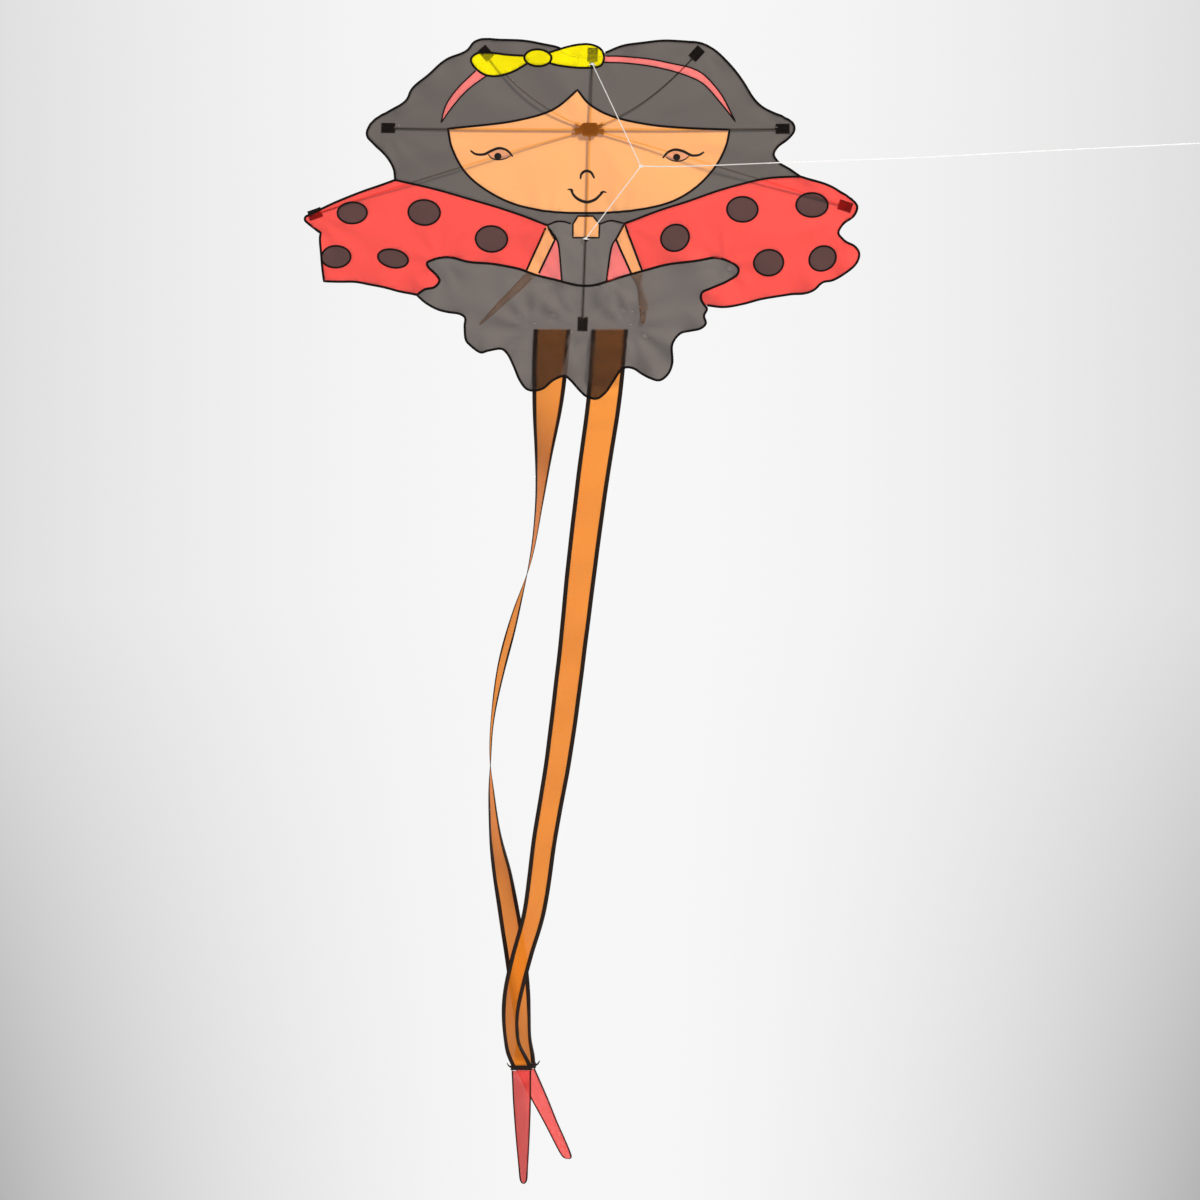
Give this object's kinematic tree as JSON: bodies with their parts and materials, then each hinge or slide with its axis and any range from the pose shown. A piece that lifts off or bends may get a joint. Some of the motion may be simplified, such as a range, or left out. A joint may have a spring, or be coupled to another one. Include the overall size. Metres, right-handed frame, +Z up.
{
  "type": "figure kite",
  "caption": "Single-line figure kite shaped like a girl in a spotted costume, with sewn cloth panels, rods in a centre hub, a two-leg bridle and long ribbon legs.",
  "frame": {"origin": "centre of the hub's flat back face, behind the middle of the sail", "axes": "+Z up along the figure, +X to the viewer's right, +Y out of the hub's back, away from the viewer; the face looks to -Y"},
  "size_m": [1.8176, 0.2882, 2.2853],
  "materials": {
    "hair_cloth": "light ripstop cloth, charcoal, lets light through",
    "dress_cloth": "light ripstop cloth, charcoal, lets light through",
    "skin_cloth": "light ripstop cloth, apricot orange",
    "arm_cloth": "light ripstop cloth, apricot orange",
    "wing_cloth": "light ripstop cloth, red",
    "band_cloth": "light ripstop cloth, pink red",
    "bow_cloth": "light ripstop cloth, yellow",
    "spot_cloth": "light ripstop cloth, dark brown",
    "leg_cloth": "light ripstop ribbon, orange with dark bound edges",
    "cuff_tape": "dark folded hem tape",
    "boot_cloth": "light ripstop cloth, red, doubled",
    "pocket_tape": "woven webbing, black, sewn as rod pockets",
    "rod_fibreglass": "pultruded fibreglass rod, black",
    "hub_plastic": "moulded flexible plastic, black",
    "cord_braid": "white braided polyester cord"
  },
  "bodies": {
    "sail_frame": {"arm_panel_left": "arm_cloth", "arm_panel_right": "arm_cloth", "bodice_panel": "dress_cloth", "bow_knot": "bow_cloth", "bow_left_loop": "bow_cloth", "bow_right_loop": "bow_cloth", "bridle_anchor_low": "cord_braid", "bridle_anchor_top": "cord_braid", "centre_hub": "hub_plastic", "cross_pocket_left": "pocket_tape", "cross_pocket_right": "pocket_tape", "cross_rod_left": "rod_fibreglass", "cross_rod_right": "rod_fibreglass", "face_panel": "skin_cloth", "gusset_left": "wing_cloth", "gusset_right": "wing_cloth", "hair_panel": "hair_cloth", "headband_left": "band_cloth", "headband_right": "band_cloth", "neck_panel": "skin_cloth", "skirt_panel": "dress_cloth", "spine_pocket_foot": "pocket_tape", "spine_pocket_top": "pocket_tape", "spine_rod": "rod_fibreglass", "spot_left_1": "spot_cloth", "spot_left_2": "spot_cloth", "spot_left_3": "spot_cloth", "spot_left_4": "spot_cloth", "spot_left_5": "spot_cloth", "spot_right_1": "spot_cloth", "spot_right_2": "spot_cloth", "spot_right_3": "spot_cloth", "spot_right_4": "spot_cloth", "spot_right_5": "spot_cloth", "upper_pocket_left": "pocket_tape", "upper_pocket_right": "pocket_tape", "upper_rod_left": "rod_fibreglass", "upper_rod_right": "rod_fibreglass", "wing_left": "wing_cloth", "wing_pocket_left": "pocket_tape", "wing_pocket_right": "pocket_tape", "wing_right": "wing_cloth", "wing_rod_left": "rod_fibreglass", "wing_rod_right": "rod_fibreglass"},
    "bridle": {"bridle_upper_leg": "cord_braid", "bridle_lower_leg": "cord_braid", "tow_knot": "cord_braid"},
    "flying_line": {"flying_line": "cord_braid", "line_end_knot": "cord_braid", "line_end_loop": "cord_braid"},
    "leg_left": {"leg_left": "leg_cloth", "cuff_left": "cuff_tape"},
    "leg_right": {"leg_right": "leg_cloth", "cuff_right": "cuff_tape"},
    "boot_left": {"boot_left": "boot_cloth"},
    "boot_right": {"boot_right": "boot_cloth"},
    "forearm_left": {"forearm_left": "arm_cloth"},
    "forearm_right": {"forearm_right": "arm_cloth"}
  },
  "joints": [
    {"name": "bridle_swing", "type": "hinge", "parent": "sail_frame", "child": "bridle", "pos_m": [-0.0017, -0.026, -0.046], "axis": [0.037, 0, 0.9993], "range_deg": [-150, 4]},
    {"name": "line_swing", "type": "hinge", "parent": "bridle", "child": "flying_line", "pos_m": [0.101, -0.054, -0.08], "axis": [0, 0, 1], "range_deg": [-30, 4]},
    {"name": "leg_left_swing", "type": "hinge", "parent": "sail_frame", "child": "leg_left", "pos_m": [-0.018, -0.0112, -0.399], "axis": [1, 0, 0], "range_deg": [0, 60]},
    {"name": "leg_right_swing", "type": "hinge", "parent": "sail_frame", "child": "leg_right", "pos_m": [-0.018, -0.0112, -0.399], "axis": [1, 0, 0], "range_deg": [0, 60]},
    {"name": "boot_left_swing", "type": "hinge", "parent": "leg_left", "child": "boot_left", "pos_m": [-0.13, 0.0148, -1.8799], "axis": [1, 0, 0], "range_deg": [-20, 40]},
    {"name": "boot_right_swing", "type": "hinge", "parent": "leg_right", "child": "boot_right", "pos_m": [-0.137, -0.0122, -1.8799], "axis": [1, 0, 0], "range_deg": [-40, 10]},
    {"name": "forearm_left_swing", "type": "hinge", "parent": "sail_frame", "child": "forearm_left", "pos_m": [-0.116, -0.0112, -0.288], "axis": [1, 0, 0], "range_deg": [0, 60]},
    {"name": "forearm_right_swing", "type": "hinge", "parent": "sail_frame", "child": "forearm_right", "pos_m": [0.093, -0.0112, -0.288], "axis": [1, 0, 0], "range_deg": [0, 60]}
  ],
  "couplings": [
    {"joint": "leg_right_swing", "follows": "leg_left_swing", "ratio": 1}
  ]
}
